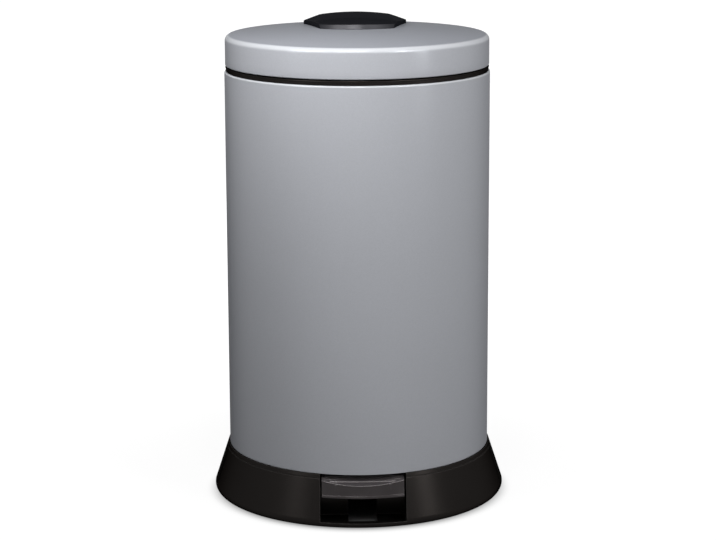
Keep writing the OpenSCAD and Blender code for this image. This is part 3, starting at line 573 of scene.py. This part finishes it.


# Body
# A sheet of steel rolled into a tube and welded at the back, beaded over at the rim
# and flanged in at the foot, then sprayed with satin silver-grey metallic paint. Its
# colour carries a painted highlight on bends and painted shade on level faces.

silver_paint = Finish("silver_paint", Specular_IOR_Level=0.0)
flake = silver_paint.node("ShaderNodeTexVoronoi", {"feature": "F1"}, {
    "Vector": silver_paint.place(), "Scale": 1500.0}, "Color")
glitter = silver_paint.node("ShaderNodeSeparateColor", {}, {"Color": flake})
cloud = silver_paint.noise(9.0, 3.0)
silver_soft = edges(silver_paint, 0.0006)[0]
silver_up = silver_paint.facing("Z")
# painted highlight: lighter colour on bends; painted shade: darker colour on level faces
bend_painted_highlight = silver_up.ramp(0.12, 0.45) * (1 - silver_up.ramp(0.80, 0.96))
speckle = glitter * 0.7 + cloud * 0.3
silver_wall = silver_paint.tint(speckle, (0.418, 0.428, 0.460), (0.478, 0.490, 0.527))
silver_painted_shade_flat = silver_paint.tint(speckle, (0.330, 0.342, 0.376), (0.380, 0.393, 0.432))
silver_with_painted_shade = silver_paint.tint(silver_up.ramp(0.90, 0.99), silver_wall, silver_painted_shade_flat)
silver_paint.set("Base Color", silver_paint.tint(bend_painted_highlight, silver_with_painted_shade, (0.58, 0.595, 0.625)))
silver_paint.set("Roughness", 0.5 + cloud * 0.04)
peel = silver_paint.noise(420.0, 2.0)
silver_skin = relief(silver_paint, peel * 0.7 + glitter * 0.3, 0.10, 0.0002, silver_soft)
silver_paint.set("Normal", silver_skin)
silver_paint.glaze(0.055 + glitter * 0.03, (0.52, 0.54, 0.57), Roughness=0.22, Normal=silver_skin)
silver_paint.wear_on("body_shell")

lap_seam = Recipe("lap_seam", Radius=0.15, Width=0.014, Thickness=0.0006,
                  Low=0.062, High=0.423, Pitch=0.018, Spot=0.0026)
seam_long = lap_seam.size("High") - lap_seam.size("Low")
strip = lap_seam.node("GeometryNodeMeshCube", {}, {
    "Size": lap_seam.vector(lap_seam.size("Width"), 1.0, seam_long),
    "Vertices X": 36, "Vertices Y": 2, "Vertices Z": 720})
strip_x = lap_seam.node("ShaderNodeSeparateXYZ", {}, {"Vector": lap_seam.node("GeometryNodeInputPosition")})
strip_z = strip_x.also("Z") + seam_long / 2
from_spot = strip_z.rest(lap_seam.size("Pitch")) - lap_seam.size("Pitch") / 2
off_spot = (strip_x * strip_x + from_spot * from_spot) ** 0.5 / lap_seam.size("Spot")
dent = (1 - off_spot.ramp(0.55, 1.0)) * 0.00035
lip = (1 - (off_spot - 1.1).size().ramp(0.0, 0.25)) * 0.00010
side = 1 - (strip_x.size() / lap_seam.size("Width") * 2).ramp(0.9, 1.0)
outside = strip_x.also("Y") > 0
proud = outside * (lap_seam.size("Thickness") * side - dent + lip) + (outside - 1) * 0.0002
strip_radius = lap_seam.size("Radius") + proud
strip_angle = strip_x / lap_seam.size("Radius")
lap_seam.close(lap_seam.node("GeometryNodeSetPosition", {}, {"Geometry": strip, "Position": lap_seam.vector(
    strip_radius * strip_angle.sine(), strip_radius * strip_angle.cosine(), strip_z + lap_seam.size("Low"))}))
seam = lap_seam.make("lap_seam", bpy.data.meshes.new("lap_seam"), silver_paint, 60)
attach(seam, "body")
zinc_plate.wear_on("base_nuts")
corner = 101.116
screws("base_screws", "body", [(x, y, 52.4) for x in (-corner, corner) for y in (-corner, corner)], (0, 0, 0),
       shank_mm=2.0, length_mm=12.0, head_mm=4.2, dome_mm=2.6)


# Collar
# A ring of black plastic snapped into the rim, with a bead that shows under the lid
# and three rubber buffers that the lid comes down on.

black_plastic.wear_on("top_collar")
rubber.wear_on("lid_buffers")


# Push rod
# Drawn steel rod up the back of the body, with a nylon fork at each end. It runs in
# a bush in the deck and in a block screwed to the wall.

bright_steel.wear_on("push_rod")
nylon.wear_on("rod_foot", "rod_yoke", "rod_guide_low", "rod_guide_top")
screws("guide_screw", "body", [(0, 152.4, 436)], (math.pi / 2, 0, 0),
       shank_mm=1.45, length_mm=5.53, head_mm=3.4, dome_mm=2.2)


# Hinge
# Black moulded housing screwed to the body from inside, open below to carry the bin
# by. The pin through its cheeks carries the cast hinge riveted to the lid.

black_plastic.wear_on("hinge_housing")
zinc_plate.wear_on("pin_caps", "hinge_rivets")
screws("housing_screws", "body", [(-20, 144.9, 462), (20, 144.9, 462)], (-math.pi / 2, 0, 0),
       shank_mm=1.45, length_mm=10.5, head_mm=3.4, dome_mm=2.2)
bright_steel.wear_on("hinge_pin", "crank_pin")
powder_black.wear_on("lid_hinge")


# Lid
# Drawn from one sheet of steel, with a hem turned in below and a low dome on top,
# painted with the body. A plastic ring lies on the hem inside.

lid_radius, lid_sheet, lid_hem, lid_foot, hem_inner = 149, 1, 1, 496.5, 144.4
edge_radius, edge_middle, edge_height = 6.5, 142.5, 524
dome_radius, dome_top = 1695.19, 536.5


def arc(turn, steps, first, last):
    """Angles at even steps of a turn in degrees, from the first step to the one before the last."""
    return [math.radians(turn) * step / steps for step in range(first, last)]


lid_outer = [(dome_radius * math.sin(turn), dome_top - dome_radius * (1 - math.cos(turn)))
             for turn in arc(4.82, 30, 0, 31)]
lid_outer += [(edge_middle + edge_radius * math.sin(turn), edge_height + edge_radius * math.cos(turn))
              for turn in arc(90, 16, 1, 17)]
lid_outer += [(lid_radius, 515), (lid_radius, 506), (lid_radius, lid_foot + 1.2), (148.9, 497.2),
              (148.6, 496.8), (148.2, 496.6), (147.8, lid_foot)]
inner_edge, inner_dome, lid_inside = edge_radius - lid_sheet, dome_radius - lid_sheet, lid_radius - lid_sheet
lid_inner = [(hem_inner, lid_foot), (hem_inner, lid_foot + lid_hem), (147.8, lid_foot + lid_hem),
             (lid_inside, 497.7), (lid_inside, 506), (lid_inside, 515)]
lid_inner += [(edge_middle + inner_edge * math.cos(turn), edge_height + inner_edge * math.sin(turn))
              for turn in arc(90, 12, 0, 13)]
lid_inner += [(inner_dome * math.sin(turn), dome_top - dome_radius + inner_dome * math.cos(turn))
              for turn in reversed(arc(4.7, 20, 0, 21))]
lid = bpy.data.objects.new("pressed_lid", turned("pressed_lid", lid_outer + lid_inner, 360, 50))
bpy.context.scene.collection.objects.link(lid)
silver_paint.wear_on(lid)
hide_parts("lid_shell")
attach(lid, "lid")
black_plastic.wear_on("lid_liner")


# Grip
# Black moulding on top of the lid: grained matt on its crown, polished on its front,
# and held by two screws from inside the lid.

grip_plastic = Finish("grip_plastic", Specular_IOR_Level=0.0)
grip_mould = grip_plastic.noise(9.0, 4.0)
grip_grain = grip_plastic.noise(2600.0, 2.0)
grip_soft, grip_edge = edges(grip_plastic, 0.0008)
front_land = (grip_plastic.facing("Y") * -1).ramp(0.6, 0.8)
grip_dull = grip_plastic.tint(grip_mould, (0.0125, 0.0130, 0.0160), (0.0180, 0.0185, 0.0220))
grip_plastic.set("Base Color", grip_plastic.tint(grip_edge * 0.6, grip_dull, (0.05, 0.048, 0.047)))
grip_plastic.set("Roughness", 0.55 + grip_mould * 0.10)
grip_skin = relief(grip_plastic, grip_grain, 0.15, 0.00012, grip_soft)
grip_plastic.set("Normal", grip_skin)
grip_plastic.glaze(0.035 + front_land * 0.065, (0.30, 0.295, 0.31), Roughness=0.36, Normal=grip_skin)
grip_plastic.wear_on("lid_grip")
screws("grip_screws", "lid", [(-22, 38, 531.8), (22, 38, 531.8)], (0, 0, 0),
       shank_mm=1.45, length_mm=8.0, head_mm=4.0, dome_mm=2.4)


# Bucket
# Lift-out bucket of dark grey plastic, with a bail of bright wire and a plastic grip
# on it.

bucket_plastic = Finish("bucket_plastic", Specular_IOR_Level=0.3)
flow = bucket_plastic.noise(14.0, 4.0, stretch=(1.0, 1.0, 0.3))
bucket_plastic.set("Base Color", bucket_plastic.tint(flow, (0.055, 0.058, 0.065), (0.085, 0.088, 0.096)))
bucket_plastic.set("Roughness", 0.42 + flow * 0.14)
bucket_plastic.set("Normal", relief(
    bucket_plastic, bucket_plastic.noise(1800.0), 0.12, 0.00012, edges(bucket_plastic, 0.0006)[0]))
bucket_plastic.wear_on("bucket")
bright_steel.wear_on("bucket_bail")

web = bpy.data.meshes.new("web")
web_half = 0.6
web_outline = [(-0.9, 452.5), (4.1, 464.6), (4.1, 467.9), (-0.9, 468.6)]
web_corners = [(x / 1000, y / 1000, z / 1000) for y in (-web_half, web_half) for x, z in web_outline]
web.from_pydata(web_corners, [],
                [(0, 1, 2, 3), (7, 6, 5, 4), (0, 4, 5, 1), (1, 5, 6, 2), (2, 6, 7, 3), (3, 7, 4, 0)])
webs = circle_of.make("rim_webs", web, bucket_plastic, Count=20, Radius=0.125, First=math.radians(9))
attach(webs, "bucket")

finger_grip = Recipe("finger_grip", Bend=0.135, Radius=0.0042, Height=0.462, Waves=5.0)
grip_arc = finger_grip.node("GeometryNodeCurveArc", {"mode": "RADIUS"}, {
    "Resolution": 121, "Radius": finger_grip.size("Bend"),
    "Start Angle": math.radians(250), "Sweep Angle": math.radians(40)})
grip_step = finger_grip.node("GeometryNodeInputIndex") / 120
grip_swell = (grip_step * finger_grip.size("Waves") * math.pi).sine().size() ** 0.5
grip_end = (grip_step * (1 - grip_step) * 4).ramp(0.0, 0.04)
grip_arc = finger_grip.node("GeometryNodeSetCurveRadius", {}, {
    "Curve": grip_arc, "Radius": (0.84 + 0.16 * grip_swell) * (0.7 + 0.3 * grip_end)})
grip_ring = finger_grip.node("GeometryNodeCurvePrimitiveCircle", {"mode": "RADIUS"}, {
    "Resolution": 40, "Radius": finger_grip.size("Radius")})
grip_tube = finger_grip.node("GeometryNodeCurveToMesh", {}, {
    "Curve": grip_arc, "Profile Curve": grip_ring, "Fill Caps": True})
finger_grip.close(finger_grip.moved(grip_tube, Translation=finger_grip.vector(z=finger_grip.size("Height"))))
hand_grip = finger_grip.make("finger_grip", bpy.data.meshes.new("finger_grip"), bucket_plastic, 50)
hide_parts("bail_grip")
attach(hand_grip, "bail")
